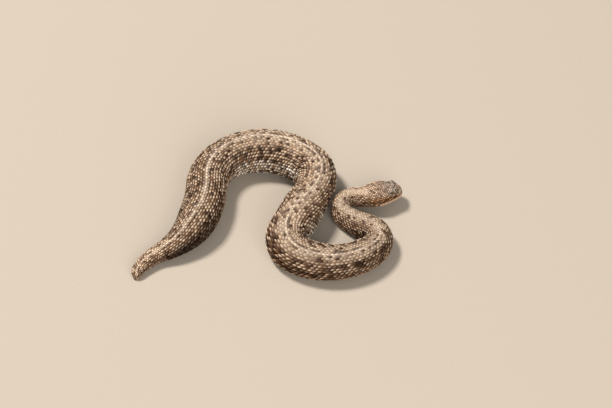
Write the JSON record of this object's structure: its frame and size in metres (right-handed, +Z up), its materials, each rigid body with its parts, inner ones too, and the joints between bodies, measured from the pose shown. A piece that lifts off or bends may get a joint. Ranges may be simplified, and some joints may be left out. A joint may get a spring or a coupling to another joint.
{
  "type": "desert adder",
  "caption": "Life-size desert adder lying in open coils with a flat belly: short broad head with raised eyes, thick scaled trunk and a short blunt tail.",
  "frame": {"origin": "centre of the model's box, on the floor that the belly rests on", "axes": "+X from the tail's side to the head's side, +Y from the near lower coil to the far arch of the back, +Z up"},
  "size_m": [0.1064, 0.074, 0.0157],
  "materials": {
    "scaled_skin": "dry keeled scales, sandy grey-brown with a pale line along the back, dark dashes and flecks",
    "head_skin": "small dry keeled scales, greyish sand colour",
    "chin_skin": "smooth pale scales",
    "eye": "wet gloss, sand-brown iris with an upright slit pupil"
  },
  "bodies": {
    "root": {"head": "head_skin", "lower_jaw": "chin_skin", "eye_left": "eye", "eye_right": "eye", "neck_front": "scaled_skin", "neck_rear": "scaled_skin", "trunk_1": "scaled_skin", "trunk_2": "scaled_skin", "trunk_3": "scaled_skin", "trunk_4": "scaled_skin", "trunk_5": "scaled_skin", "trunk_6": "scaled_skin", "trunk_7": "scaled_skin", "trunk_8": "scaled_skin", "trunk_9": "scaled_skin", "tail": "scaled_skin", "tail_tip": "scaled_skin"}
  },
  "joints": []
}
